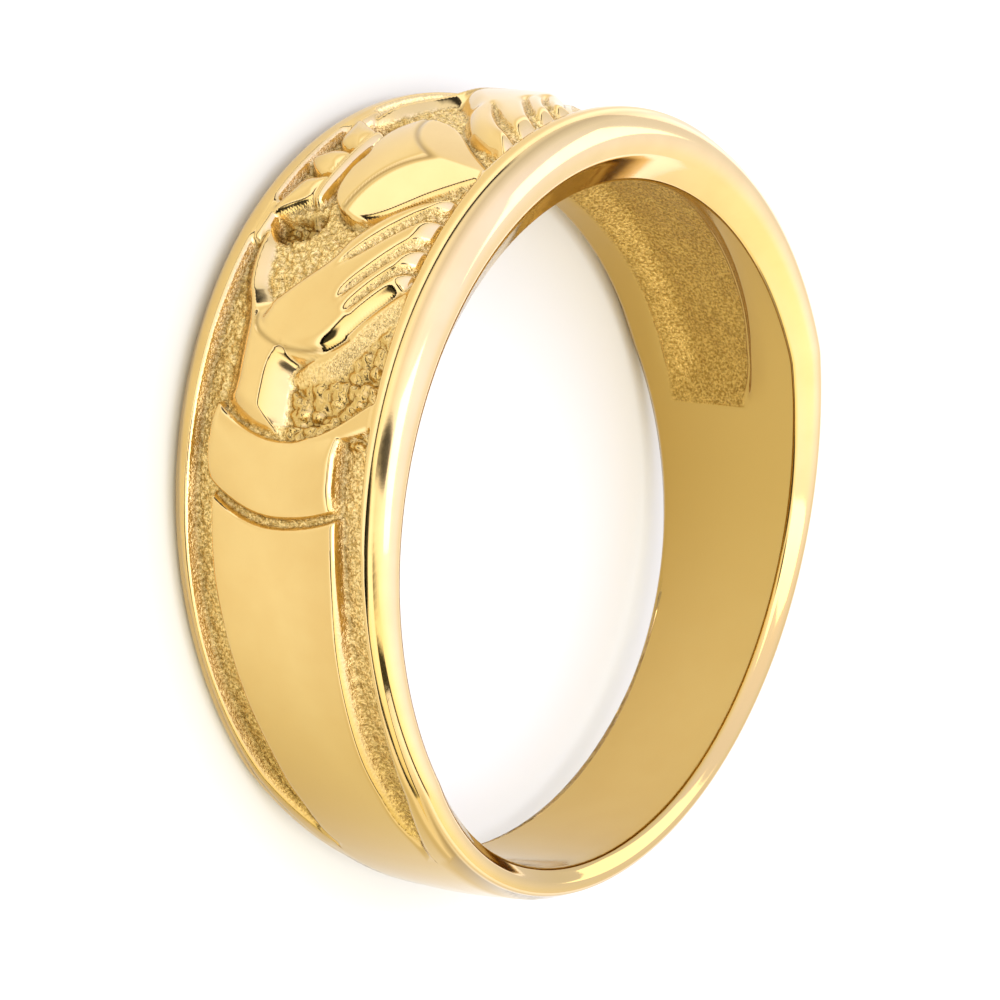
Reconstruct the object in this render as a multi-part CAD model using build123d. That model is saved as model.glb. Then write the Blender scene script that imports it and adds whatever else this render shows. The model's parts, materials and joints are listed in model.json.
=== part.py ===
from build123d import *
import math
import os

# A claddagh ring cast in one piece: a tapering band with raised rails and sunk channels, on which
# a heart, a crown and two cuffed hands stand in relief, hollowed behind. Lengths are millimetres,
# angles degrees. A place is given by r, from the finger hole's axis, by its angle round from the
# heart, and by w along the axis, where the rim at the heart's point is positive. The ring is
# built as the half on one side of the heart and mirrored, then laid on its side as it rests.

# Band
HOLE_RADIUS = 9.9
TOP_WALL = 2.4
SHANK_WALL = 0.97
SWELL_EASE = 2.7
TOP_WIDTH = 8.3
SHANK_WIDTH = 4.2
SIDE_LEAN = 3.34
SHOULDER_ANGLE = 97
TOP_FLARE = 0.94
SHANK_FLARE = 0.08
FLARE_EASE = 0.75
LIP_RADIUS = 0.18

# Rail crest, measured in and down from the band's widest line
CREST_DROP = 0.15
CREST_START = 0.4
CREST_END = 0.62
BAND_CROWN = 0.08

# Sunk field under the relief and the channels that run on from it beside the sleeves
RAIL_WIDTH = 1.07
FIELD_DEPTH = 0.38
FIELD_HALF_WIDTH = TOP_WIDTH / 2 - RAIL_WIDTH
CHANNEL_WIDTH = 0.85
CHANNEL_END_ANGLE = 109

# Hollow behind the top, shallower towards its ends
HOLLOW_WIDTH = 4.3
HOLLOW_TOP_DEPTH = 1.2
HOLLOW_END_DEPTH = 0.3
HOLLOW_END_ANGLE = 107
HOLLOW_CORNER = 0.2

# Relief, its height over the rails
HEART_RISE = 0.48
HAND_RISE = 0.2
CUFF_RISE = 0.14
CROWN_RISE = 0.18
RELIEF_EDGE_DROP = 0.1

# Heart
HEART_WIDTH = 4.7
HEART_LENGTH = 4.45
HEART_TOP = -1.1
HEART_DOME_RADIUS = 7.0
HEART_DOME_SHARE = 0.4
HEART_FLANK_DROP = 0.1
HEART_FLANK_SLOPE = 0.5

# Crown, a fan from the band by the heart to the tips of its leaves. The shares are of a leaf's
# half angle at its foot and at its tip's lean, and of the crown's height at its belly.
CROWN_BASE_WIDTH = 2.8
CROWN_TOP_WIDTH = 4.5
CROWN_HEIGHT = 1.43
CROWN_BAND = 0.38
CROWN_GAP = 0.42
CROWN_SLIT_ANGLE = 3.5
CROWN_LEAVES = 3
LEAF_FOOT_SHARE = 0.8
LEAF_TIP_SHARE = 0.15
LEAF_BELLY_SHARE = 0.55

# Hand, measured round the crest from the heart's middle. A groove between fingers is widest at
# the rail, and midway it has this share of that width.
HAND_LENGTH = 7.8
WRIST_END = 9.0
FINGER_GROOVE = 0.42
GROOVE_MIDWAY_SHARE = 0.8

# Cuff, whose ends are bowed away from the heart, in front by a share of the bow behind
CUFF_GAP = 0.24
CUFF_LENGTH = 2.3
CUFF_WIDTH = 4.4
CUFF_BOW = 0.85
CUFF_FRONT_BOW_SHARE = 0.5
CUFF_GROOVE_DEPTH = 0.25
CUFF_GROOVE_OVERRUN = 0.15

# Construction
SPREAD = 0.5
LOFT_STEP = 20
LOFT_REACH = 40
ROW_SHARES = (-1.0, -0.33, 0.33, 1.0)
RELIEF_FOOT = 0.4
RELIEF_HEIGHT = 4.0
REACH = 50

# Where the widest line and the bend below it lie, as shares of the wall
WIDEST_SHARE = 0.6
BEND_SHARE = 0.3
BEND_FLARE_SHARE = 0.42

# The shank narrows from the shoulder on: this power of the turn that is left
SHANK_EASE = 2.1

# Sunk field: share of CHANNEL_END_ANGLE, of RAIL_WIDTH and of FIELD_DEPTH
FIELD_TABLE = [
    (-0.22, 0.93, 1.0),
    (0.00, 1.00, 1.0),
    (0.22, 0.93, 1.0),
    (0.45, 0.80, 1.0),
    (0.58, 0.71, 1.0),
    (0.72, 0.69, 1.0),
    (0.86, 0.80, 1.0),
    (0.945, 0.96, 0.7),
    (1.00, 1.10, 0.3),
]

# Sleeve, left standing between the channels: share of CHANNEL_END_ANGLE, of the rail's width at
# that angle and of CHANNEL_WIDTH
SLEEVE_TABLE = [
    (0.45, 0.80, 1.00),
    (0.58, 0.71, 0.98),
    (0.72, 0.69, 1.00),
    (0.86, 0.80, 0.90),
    (0.945, 0.96, 0.50),
    (1.00, 1.10, 0.08),
    (1.08, 1.19, 0.00),
]

# Hollow: share of HOLLOW_END_ANGLE, of half HOLLOW_WIDTH to the front and to the back
HOLLOW_TABLE = [
    (-0.40, 1.00, 1.00),
    (0.00, 1.00, 1.00),
    (0.40, 0.98, 1.00),
    (0.60, 0.88, 0.98),
    (0.80, 0.70, 0.92),
    (1.00, 0.42, 0.90),
]

# Heart's half outline: name, share of half HEART_WIDTH, of HEART_LENGTH from its top
HEART_OUTLINE = {
    "cleft": (0.00, 0.05),
    "lobe": (0.45, 0.00),
    "shoulder": (0.85, 0.09),
    "widest": (1.00, 0.25),
    "flank": (0.87, 0.41),
    "side": (0.48, 0.66),
    "point": (0.00, 1.00),
}

# Hand's outline: share of HAND_LENGTH from the wrist, of the field's width from the crown's rail
WRIST_TOP = (0.13, 0.15)
THUMB_BACK = [(0.26, 0.14), (0.44, 0.10), (0.68, 0.06)]
THUMB_TIP = (0.82, 0.03)
THUMB_PAD = [(0.75, 0.11), (0.57, 0.175)]
THUMB_CROTCH = [(0.50, 0.24), (0.445, 0.24)]
PALM_EDGE = [(0.68, 0.50), (0.81, 0.61), (0.90, 0.74)]
FIRST_TIP = (1.00, 1.03)
LAST_TIP = (0.52, 1.03)
LAST_EDGE = [(0.41, 0.83), (0.31, 0.65)]
WRIST_FOOT = [(0.235, 0.51), (0.00, 0.51)]
WRIST_BOW = (0.035, 0.33)

# Finger grooves: share of HAND_LENGTH and of the field's width, at the knuckle, midway and tip
GROOVE_TABLE = [
    ((0.67, 0.55), (0.80, 0.75), (0.91, 1.06)),
    ((0.545, 0.63), (0.67, 0.81), (0.77, 1.06)),
    ((0.475, 0.70), (0.57, 0.86), (0.64, 1.06)),
]

# Hand's crown: share of HAND_LENGTH from the wrist, and of the field's half width at the back
# edge, the top and the front edge
HAND_CROWN_TABLE = [
    (1.48, -1.05, 0.00, 1.10),
    (1.04, -1.05, 0.00, 1.10),
    (0.71, -1.05, 0.00, 1.10),
    (0.38, -1.00, -0.20, 1.05),
    (0.13, -0.80, -0.36, 0.35),
    (-0.13, -0.80, -0.36, 0.15),
]


def sind(angle):
    """Sine of an angle in degrees."""
    return math.sin(math.radians(angle))


def cosd(angle):
    """Cosine of an angle in degrees."""
    return math.cos(math.radians(angle))


def swell(angle):
    """How far the band has grown from shank to top, 0 to 1."""
    return ((1 + cosd(angle)) / 2) ** SWELL_EASE


def wall_at(angle):
    """Thickness of the band at an angle from the heart."""
    return SHANK_WALL + (TOP_WALL - SHANK_WALL) * swell(angle)


def flare_at(angle):
    """How much wider the band is at its widest line than at the finger hole, on each side."""
    return SHANK_FLARE + (TOP_FLARE - SHANK_FLARE) * ((1 + cosd(angle)) / 2) ** FLARE_EASE


def rail_radius(angle):
    """Radius of the rail crest."""
    return HOLE_RADIUS + wall_at(angle)


def half_width_at(angle):
    """Half width across the widest line of the side faces."""
    turn = abs((angle + 180) % 360 - 180)
    held = min(turn, SHOULDER_ANGLE)
    heart_reach = HOLE_RADIUS + WIDEST_SHARE * TOP_WALL
    reach = (HOLE_RADIUS + WIDEST_SHARE * wall_at(held)) * cosd(held)
    straight = TOP_WIDTH / 2 - (heart_reach - reach) * math.tan(math.radians(SIDE_LEAN))
    if turn <= SHOULDER_ANGLE:
        return straight
    left = (180 - turn) / (180 - SHOULDER_ANGLE)
    return SHANK_WIDTH / 2 + (straight - SHANK_WIDTH / 2) * left ** SHANK_EASE


def one_side():
    """The space on the modelled half's side of the heart."""
    return Box(REACH, REACH, REACH, align=(Align.MIN, Align.CENTER, Align.CENTER))


def section_plane(angle):
    """The plane through the hole's axis at an angle: its x is r and its y is w."""
    radial = Vector(sind(angle), -cosd(angle), 0)
    return Plane(origin=(0, 0, 0), x_dir=radial, z_dir=radial.cross(Vector(0, 0, 1)))


def band_section(angle):
    """The band's section: flared sides, rounded rail crests and a slightly crowned top."""
    wall = wall_at(angle)
    half = half_width_at(angle)
    flare = flare_at(angle)
    inner = HOLE_RADIUS - SPREAD
    bend = HOLE_RADIUS + BEND_SHARE * wall
    widest = HOLE_RADIUS + WIDEST_SHARE * wall
    crest = HOLE_RADIUS + wall
    slope = flare / (WIDEST_SHARE * wall)
    foot = half - flare - SPREAD * slope
    knee = half - BEND_FLARE_SHARE * flare
    rim = [(inner, foot), (bend, knee), (widest, half), (crest - CREST_DROP, half - CREST_START)]
    far = [(r, -w) for r, w in rim]
    flat = (crest, half - CREST_END)
    far_flat = (crest, CREST_END - half)
    edges = [
        Line(far[0], far[1]),
        ThreePointArc(far[1], far[2], far[3]),
        Line(far[3], far_flat),
        ThreePointArc(far_flat, (crest + BAND_CROWN, 0), flat),
        Line(flat, rim[3]),
        ThreePointArc(rim[3], rim[2], rim[1]),
        Line(rim[1], rim[0]),
        Line(rim[0], far[0]),
    ]
    return section_plane(angle) * Wire(edges)


def box_section(angle, bottom, top, back, front):
    """A rectangle in the section plane."""
    corners = [(bottom, back), (top, back), (top, front), (bottom, front)]
    return section_plane(angle) * Wire(Polyline(corners, close=True))


def field_floor(angle, share=1.0):
    """Radius of the sunk field."""
    return rail_radius(angle) - FIELD_DEPTH * share


def make_band():
    """Half of the plain band, bored, with rounded lips on the finger hole."""
    angles = range(-LOFT_REACH, 180 + LOFT_REACH + 1, LOFT_STEP)
    body = Solid.make_loft([band_section(angle) for angle in angles])
    band = (body & one_side()) - Cylinder(HOLE_RADIUS, REACH)
    walls = band.faces().filter_by(GeomType.CYLINDER)
    lips = [edge for edge in walls.edges() if edge.length > TOP_WIDTH]
    return fillet(lips, LIP_RADIUS)


def make_field():
    """What is sunk between the rails, with the sleeve left standing between its channels."""
    sunk = []
    for turn_share, rail_share, depth_share in FIELD_TABLE:
        angle = CHANNEL_END_ANGLE * turn_share
        edge = half_width_at(angle) - RAIL_WIDTH * rail_share
        top = rail_radius(angle) + SPREAD
        sunk.append(box_section(angle, field_floor(angle, depth_share), top, -edge, edge))
    sleeve = []
    for turn_share, rail_share, width_share in SLEEVE_TABLE:
        angle = CHANNEL_END_ANGLE * turn_share
        edge = half_width_at(angle) - RAIL_WIDTH * rail_share - CHANNEL_WIDTH * width_share
        bottom = field_floor(angle) - SPREAD
        top = rail_radius(angle) + 2 * SPREAD
        sleeve.append(box_section(angle, bottom, top, -edge, edge))
    return Solid.make_loft(sunk) - Solid.make_loft(sleeve)


def hollow_section(angle, front, back):
    """The hollow's section, with rounded inner corners."""
    depth = HOLLOW_END_DEPTH + (HOLLOW_TOP_DEPTH - HOLLOW_END_DEPTH) * swell(angle)
    bottom = HOLE_RADIUS - SPREAD
    top = HOLE_RADIUS + depth
    bend = HOLLOW_CORNER * (1 - math.sqrt(0.5))
    edges = [
        Line((bottom, back), (top - HOLLOW_CORNER, back)),
        ThreePointArc((top - HOLLOW_CORNER, back), (top - bend, back + bend),
                      (top, back + HOLLOW_CORNER)),
        Line((top, back + HOLLOW_CORNER), (top, front - HOLLOW_CORNER)),
        ThreePointArc((top, front - HOLLOW_CORNER), (top - bend, front - bend),
                      (top - HOLLOW_CORNER, front)),
        Line((top - HOLLOW_CORNER, front), (bottom, front)),
        Line((bottom, front), (bottom, back)),
    ]
    return section_plane(angle) * Wire(edges)


def make_hollow():
    """The recess that lightens the top from inside."""
    half = HOLLOW_WIDTH / 2
    sections = []
    for turn_share, front_share, back_share in HOLLOW_TABLE:
        angle = HOLLOW_END_ANGLE * turn_share
        sections.append(hollow_section(angle, half * front_share, -half * back_share))
    return Solid.make_loft(sections)


def relief_plane(angle):
    """A plane square to the radius at an angle: x runs round from the heart, y is w."""
    radial = Vector(sind(angle), -cosd(angle), 0)
    tangent = Vector(cosd(angle), sind(angle), 0)
    return Plane(origin=radial * (HOLE_RADIUS + RELIEF_FOOT), x_dir=tangent, z_dir=radial)


def raised(angle, outline):
    """An outline in the relief plane, drawn out past every crest."""
    return extrude(relief_plane(angle) * outline, RELIEF_HEIGHT)


def arc_angle(arc):
    """The angle that a length round the crest spans."""
    return math.degrees(arc / rail_radius(0))


def turned(angle, arc, w):
    """A place given by its length round the crest, seen in the relief plane at an angle."""
    return (rail_radius(0) * sind(arc_angle(arc) - angle), w)


def cap(rows, rise):
    """The space under a crowned surface: rows of angle, back edge, top and front edge."""
    sections = []
    for angle, back, middle, front in rows:
        edge = rail_radius(angle) - RELIEF_EDGE_DROP
        peak = rail_radius(angle) + rise
        foot = HOLE_RADIUS + SPREAD
        edges = [
            Line((foot, back), (edge, back)),
            ThreePointArc((edge, back), (peak, middle), (edge, front)),
            Line((edge, front), (foot, front)),
            Line((foot, front), (foot, back)),
        ]
        sections.append(section_plane(angle) * Wire(edges))
    return Solid.make_loft(sections)


def make_heart():
    """The heart: two shallow lobes under a round dome, and flanks that fall off to the point."""
    spot = {}
    for name, (across, along) in HEART_OUTLINE.items():
        spot[name] = (across * HEART_WIDTH / 2, HEART_TOP + along * HEART_LENGTH)
    half = [
        ThreePointArc(spot["cleft"], spot["lobe"], spot["shoulder"]),
        ThreePointArc(spot["shoulder"], spot["widest"], spot["flank"]),
        ThreePointArc(spot["flank"], spot["side"], spot["point"]),
        Line(spot["point"], spot["cleft"]),
    ]
    outline = make_face(Wire(half))
    peak = rail_radius(0) + HEART_RISE
    middle = HEART_TOP + HEART_LENGTH * HEART_DOME_SHARE
    dome = Pos(0, HEART_DOME_RADIUS - peak, middle) * Sphere(HEART_DOME_RADIUS)
    widest, point = (Vector(spot[name][0], 0, spot[name][1]) for name in ("widest", "point"))
    outward = Vector(0, -1, 0)
    inward = outward.cross(point - widest).normalized()
    edge = widest + outward * (rail_radius(0) - HEART_FLANK_DROP)
    flank = Plane(origin=edge, z_dir=outward - inward * HEART_FLANK_SLOPE)
    under = flank * Box(REACH, REACH, REACH, align=(Align.CENTER, Align.CENTER, Align.MAX))
    return raised(0, outline) & dome & under


def make_crown():
    """The crown's band and its fan of leaves, open towards the rail."""
    spread = (CROWN_TOP_WIDTH - CROWN_BASE_WIDTH) / CROWN_HEIGHT
    near = CROWN_BASE_WIDTH / spread
    band_edge = HEART_TOP - CROWN_GAP
    fan = math.degrees(math.atan(spread / 2))
    pitch = (2 * fan + CROWN_SLIT_ANGLE) / CROWN_LEAVES
    half = (pitch - CROWN_SLIT_ANGLE) / 2

    def fan_spot(height, angle):
        """A place by its height over the band's edge and its angle from the fan's middle line."""
        return ((near + height) * math.tan(math.radians(angle)), band_edge - height)

    places = ((0, -fan), (0, fan), (CROWN_BAND, fan), (CROWN_BAND, -fan))
    outline = make_face(Wire(Polyline([fan_spot(*place) for place in places], close=True)))
    foot = CROWN_BAND / 2
    belly = CROWN_HEIGHT * LEAF_BELLY_SHARE
    for number in range(CROWN_LEAVES):
        place = number / (CROWN_LEAVES - 1) * 2 - 1
        middle = place * (fan - half)
        tip = fan_spot(CROWN_HEIGHT, place * (fan - half * LEAF_TIP_SHARE))
        low_foot = fan_spot(foot, middle - half * LEAF_FOOT_SHARE)
        high_foot = fan_spot(foot, middle + half * LEAF_FOOT_SHARE)
        edges = [
            ThreePointArc(low_foot, fan_spot(belly, middle - half), tip),
            ThreePointArc(tip, fan_spot(belly, middle + half), high_foot),
            Line(high_foot, low_foot),
        ]
        outline += make_face(Wire(edges))
    slope = CROWN_HEIGHT + SPREAD
    rows = []
    for share in ROW_SHARES:
        angle = arc_angle(CROWN_TOP_WIDTH / 2 + SPREAD) * share
        rows.append((angle, band_edge - slope, band_edge, band_edge + slope))
    crown = raised(0, outline) & cap(rows, CROWN_RISE)
    return crown & one_side()


def hand_spot(angle, spot):
    """A place in the hand's table, seen in the relief plane at an angle."""
    along, across = spot
    arc = WRIST_END - along * HAND_LENGTH
    return turned(angle, arc, (2 * across - 1) * FIELD_HALF_WIDTH)


def make_hand():
    """Wrist, thumb and four fingers that lie round the heart."""
    angle = arc_angle(WRIST_END - HAND_LENGTH / 2)

    def spots(*places):
        return [hand_spot(angle, place) for place in places]

    edges = [
        Spline(spots(WRIST_TOP, *THUMB_BACK, THUMB_TIP)),
        Spline(spots(THUMB_TIP, *THUMB_PAD, THUMB_CROTCH[0])),
        Line(spots(THUMB_CROTCH[0], THUMB_CROTCH[1])),
        Spline(spots(THUMB_CROTCH[1], *PALM_EDGE, FIRST_TIP)),
        Line(spots(FIRST_TIP, LAST_TIP)),
        Spline(spots(LAST_TIP, *LAST_EDGE, WRIST_FOOT[0])),
        Line(spots(WRIST_FOOT[0], WRIST_FOOT[1])),
        ThreePointArc(*spots(WRIST_FOOT[1], WRIST_BOW, WRIST_TOP)),
    ]
    outline = make_face(Wire(edges))
    half = FINGER_GROOVE / 2
    half_midway = half * GROOVE_MIDWAY_SHARE
    for knuckle, midway, tip in GROOVE_TABLE:
        start, bend, end = spots(knuckle, midway, tip)
        near_end = (end[0] - half, end[1])
        far_end = (end[0] + half, end[1])
        edges = [
            ThreePointArc(start, (bend[0] - half_midway, bend[1]), near_end),
            Line(near_end, far_end),
            ThreePointArc(far_end, (bend[0] + half_midway, bend[1]), start),
        ]
        outline -= make_face(Wire(edges))
    rows = []
    for along, *shares in HAND_CROWN_TABLE:
        turn = arc_angle(WRIST_END - along * HAND_LENGTH)
        rows.append((turn, *[share * FIELD_HALF_WIDTH for share in shares]))
    return raised(angle, outline) & cap(rows, HAND_RISE)


def bowed_line(angle, arc, half):
    """Back, middle and front of a line across the ring, bowed away from the heart."""
    bows = ((CUFF_BOW, -half), (0, 0), (CUFF_BOW * CUFF_FRONT_BOW_SHARE, half))
    return [turned(angle, arc - bow, w) for bow, w in bows]


def bowed_strip(angle, start, end, half):
    """A strip across the ring between two bowed ends, seen in the relief plane at an angle."""
    near = bowed_line(angle, start, half)
    far = bowed_line(angle, end, half)
    edges = [
        ThreePointArc(*near),
        Line(near[-1], far[-1]),
        ThreePointArc(*far),
        Line(far[0], near[0]),
    ]
    return make_face(Wire(edges))


def make_cuff():
    """The cuff, with a rounded back."""
    start = WRIST_END + CUFF_GAP
    angle = arc_angle(start + CUFF_LENGTH / 2)
    reach = arc_angle(CUFF_LENGTH / 2 + CUFF_BOW)
    half = CUFF_WIDTH / 2
    edge = half + SPREAD
    rows = [(angle + reach * share, -edge, 0, edge) for share in ROW_SHARES]
    return raised(angle, bowed_strip(angle, start, start + CUFF_LENGTH, half)) & cap(rows, CUFF_RISE)


def make_cuff_groove():
    """The groove that parts the cuff from the sleeve."""
    start = WRIST_END + CUFF_GAP + CUFF_LENGTH
    angle = arc_angle(start + CUFF_GAP / 2)
    reach = arc_angle(CUFF_GAP + CUFF_BOW + SPREAD)
    half = CUFF_WIDTH / 2 + CUFF_GROOVE_OVERRUN
    sections = []
    for share in ROW_SHARES:
        turn = angle + reach * share
        crest = rail_radius(turn)
        sections.append(box_section(turn, crest - CUFF_GROOVE_DEPTH, crest + SPREAD, -half, half))
    return raised(angle, bowed_strip(angle, start, start + CUFF_GAP, half)) & Solid.make_loft(sections)


def make_ring():
    """The whole casting, in the hole's frame."""
    half = make_band() - make_field()
    half = half + make_heart() + make_crown() + make_hand() + make_cuff()
    half = half - make_cuff_groove() - make_hollow()
    return half + mirror(half, Plane.YZ)


def laid_down(ring):
    """The ring tipped by its side's lean, so that one side lies flat, and set on the floor."""
    tipped = Rot(-SIDE_LEAN, 0, 0) * ring
    box = tipped.bounding_box()
    middle = (box.min + box.max) / 2
    return Pos(-middle.X, -middle.Y, -box.min.Z) * tipped


ring = laid_down(make_ring())
os.makedirs("parts", exist_ok=True)
export_step(ring, "parts/claddagh_ring.step")
print("volume mm3", round(ring.volume, 1), "solids", len(ring.solids()), "valid", ring.is_valid)
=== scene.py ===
import json
import math

import bmesh
import bpy
import numpy as np
from mathutils import Matrix, Vector


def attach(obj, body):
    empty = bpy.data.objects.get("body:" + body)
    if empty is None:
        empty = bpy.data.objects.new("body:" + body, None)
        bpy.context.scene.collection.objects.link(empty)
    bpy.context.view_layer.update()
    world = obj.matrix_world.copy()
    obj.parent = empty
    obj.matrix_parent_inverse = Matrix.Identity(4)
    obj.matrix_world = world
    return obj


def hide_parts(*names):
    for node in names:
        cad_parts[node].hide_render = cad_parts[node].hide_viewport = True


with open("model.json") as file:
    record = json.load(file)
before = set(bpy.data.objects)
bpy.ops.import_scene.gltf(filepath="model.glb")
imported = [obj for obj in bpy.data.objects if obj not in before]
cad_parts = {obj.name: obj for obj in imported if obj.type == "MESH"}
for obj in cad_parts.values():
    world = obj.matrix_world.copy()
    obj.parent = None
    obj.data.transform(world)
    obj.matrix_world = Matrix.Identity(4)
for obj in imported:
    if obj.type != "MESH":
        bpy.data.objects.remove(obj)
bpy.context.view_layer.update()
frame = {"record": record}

# The looks of a claddagh ring: one closed mesh for the whole casting, with its relief, textures
# and hollow as real shape, a gold that is polished or blasted by place, a studio and a camera.
# Lengths are millimetres and angles degrees where nothing else is said. A place on the ring is
# given by r, from the finger hole's axis, by its angle round from the heart, or s, its length
# round the crest from there, and by w along the axis, positive at the rim at the heart's point.

MM = 0.001

HOLE = frame["record"]["mounts"][0]
HOLE_RADIUS = HOLE["dims"]["r_mm"]
CENTRE = np.array(HOLE["pos_m"]) / MM
AXIS = np.array(HOLE["axis"])
SIDE = np.array([1.0, 0.0, 0.0])
TO_HEART = np.cross(SIDE, AXIS)

# Band
TOP_WALL = 2.4
SHANK_WALL = 0.97
SWELL_EASE = 2.7
TOP_WIDTH = 8.3
SHANK_WIDTH = 4.2
SIDE_LEAN = 3.34
SHOULDER_ANGLE = 97
TOP_FLARE = 0.94
SHANK_FLARE = 0.08
FLARE_EASE = 0.75
LIP_RADIUS = 0.25
CREST_DROP = 0.15
CREST_START = 0.4
CREST_END = 0.62
CREST_EASE = 0.1
BAND_CROWN = 0.08
WIDEST_SHARE = 0.6
BEND_SHARE = 0.3
BEND_FLARE_SHARE = 0.42
SHANK_EASE = 2.1

# Field and channels
RAIL_WIDTH = 1.07
FIELD_DEPTH = 0.38
CHANNEL_WIDTH = 0.85
CHANNEL_END_ANGLE = 109
RAIL_WALL = 0.14
SLEEVE_WALL = 0.14
SLEEVE_REACH = 0.2
SLEEVE_EDGE_DROP = 0.03
# Towards the channels' ends their inner walls widen, move into the sleeve and are blasted
SOFT_ANGLES = (58, 82)
SOFT_WALL = 0.20
SOFT_SHIFT = 0.04
SOFT_GRAIN = (0.0, 0.12)

# Heart: a dome over the rails, cut by a flank plane on each side that falls off to the point
HEART_RISE = 0.48
HEART_MIDDLE = 0.68
HEART_DOME_RADIUS = 7.0
HEART_WIDEST = (2.35, 0.01)
HEART_POINT = 3.35
HEART_POINT_ROUND = 0.004
HEART_FLANK_DROP = 0.1
HEART_FLANK_SLOPE = 0.5
HEART_EDGE = 0.1
HEART_EDGE_DROP = 0.05
HEART_WALL = 0.14
RIDGE_BLEND = 0.03
RIDGE_CREASE = 0.055
RIDGE_CREASE_WIDTH = 0.035
RIDGE_FADE = (0.03, 0.15)

# Relief, over the rails: the height of a piece's edge and top, the width of its wall, how far in
# it swells, and the power of that swell, 1 for a roof and 2 for a dome
CROWN_BAND_FORM = (-0.14, 0.10, 0.10, 0.20, 1)
LEAF_FORM = (-0.04, 0.12, 0.14, 0.42, 1.3)
ARM_FORM = (-0.32, 0.25, 0.14, 0.78, 1.25)
BRIDGE_FORM = (-0.12, 0.0, 0.20, 0.30, 2)
CUFF_FORM = (-0.06, 0.16, 0.12, 0.9, 2)

# Palm and fingers: a dome over its edge, grooves, and a bank outside it from the wrist's corner,
# which is blasted as a groove of the depth BANK_CUT is. A pair of values is where something starts
# and where it is complete, here and below.
PALM_EDGE = -0.12
PALM_WALL = (-0.06, 0.16)
PALM_SHOULDER = 0.12
PALM_RISE = 0.38
PALM_REACH = 0.5
BANK_HEIGHT = 0.30
BANK_REACH = 0.75
BANK_SIDE = (7.0, 7.6)
BANK_BLAST = (0.02, 0.06)
BANK_CUT = 0.055
FINGER_REACH = 0.27
FINGER_SHARE = 0.25
FINGER_SIDE = (0.6, 1.4)
GROOVE_WALL = (-0.09, 0.07)
GROOVE_START = 0.1

# Blasted places: by the floor's depth, the height over the floor, the depth of a finger groove and
# the palm's height over the floor, and by how far the surface is inside the rails' walls
ROUGH_DEPTHS = (0.05, 0.2)
BARE_RISES = (0.03, 0.12)
CUT_DEPTHS = (0.03, 0.08)
PALM_RISES = (0.02, 0.10)
MATTE_WALL = (0.2, 0.6)
FLAT_WALL = (0.9, 1.0)

# Nugget lumps: rows of height, size and seed, how deep they are sunk, and where they lie
POCKET_LUMPS = [(0.28, 0.36, 7), (0.07, 0.14, 27)]
POCKET_SUNK = 0.10
POCKET_START = (4.3, 4.8)
POCKET_SIDE = (-1.2, 0.0)
# Painted shade: how much deeper the gold of the nugget pocket's lumps is
POCKET_SHADE = 0.7
FIELD_LUMPS = [(0.15, 0.24, 17)]
FIELD_SUNK = 0.03
LUMPS_BACK = (-2.75, -2.45)
LUMPS_END = 9.3
LUMPS_FROM_RAIL = 0.1
LUMPS_FROM_BED = (-0.2, -0.1)
LUMPS_BESIDE_BED = 0.15
LUMP_POLISH = 0.8
LUMP_SMOOTH = 0.5
# How softly the lumps end beside walls, in points of the mesh
LUMP_BLUR = 6
# One lump lies in each cell: how far its middle keeps from the cell's edges, in cells, and its
# least radius and height, each with the most that chance adds
LUMP_MARGIN = 0.1
LUMP_RADIUS = (0.55, 0.35)
LUMP_HEIGHT = (0.5, 0.5)
# Chance: weights of two numbers and a seed, and the gain that scatters the sine of their sum
CHANCE_WEIGHTS = (127.1, 311.7, 74.7)
CHANCE_GAIN = 43758.5453

# Blasted grain: its height, its two spreads and its seed, then patches of height, size and seed
FIELD_GRAIN = (0.046, 91.7, 53.3, 5)
FIELD_PATCHES = [(0.03, 0.15, 3)]
HOLLOW_GRAIN = (0.03, 71.3, 37.9, 9)
HOLLOW_PATCHES = [(0.03, 0.3, 11), (0.05, 1.1, 13)]

# Crevices are darker, as patina in hollows and painted shade at walls' feet: how far round a point
# counts for its depth, in points of the mesh, the depth where it starts and how much deeper it is
# complete
CREVICE_BLUR = 8
CREVICE_START = 0.01
CREVICE_RANGE = 0.06

# Hollow
HOLLOW_WIDTH = 4.3
HOLLOW_TOP_DEPTH = 1.2
HOLLOW_END_DEPTH = 0.3
HOLLOW_LEAST_DEPTH = 0.03
HOLLOW_END_ANGLE = 107
HOLLOW_RUNOUT = 8
HOLLOW_END_WALL = 0.3
HOLLOW_BANK = 1.0
HOLLOW_FRONT_WALL = 0.16
HOLLOW_LIP = 0.30
HOLLOW_LIP_POWER = 1.4
HOLLOW_LIP_SIDE = (0, 0.8)
HOLLOW_BACK_GRAIN = (0.0, 0.15)
HOLLOW_FRONT_GRAIN = (0.08, 0.2)

# Painted shade, a deeper gold towards the shank and in the finger hole: its angles on the outer
# face, the side faces and the finger hole's wall, where it is less deep at the shank
OUTER_SHADE_ANGLES = (60, 105)
SIDE_SHADE_ANGLES = (90, 150)
SIDE_SHADE = 0.8
LIP_SHADE = 0.2
BORE_SHADE_ANGLES = (115, 175)
BORE_SHADE_LOSS = 0.5

# Mesh: where its zones meet, the steps of its rows and the counts of its columns
RELIEF_END = 57
CHANNEL_ZONE_END = 113
RELIEF_STEP = 0.25
CHANNEL_STEP = 0.33
SHANK_STEP = 2.0
SIDE_STEP = 1.5
HOLLOW_STEP = 0.7
HOLLOW_END_STEP = 0.2
BORE_STEP = 3.0
# The rows are closest over the hollow's last angle, and to a little past its end
HOLLOW_FINE_ANGLE = 3
HOLLOW_PAST_END = 0.4
RELIEF_COLUMNS = 108
RAIL_COLUMNS = 5
SHANK_COLUMNS = 14
FACE_POINTS = 9
LIP_POINTS = 4
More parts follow.
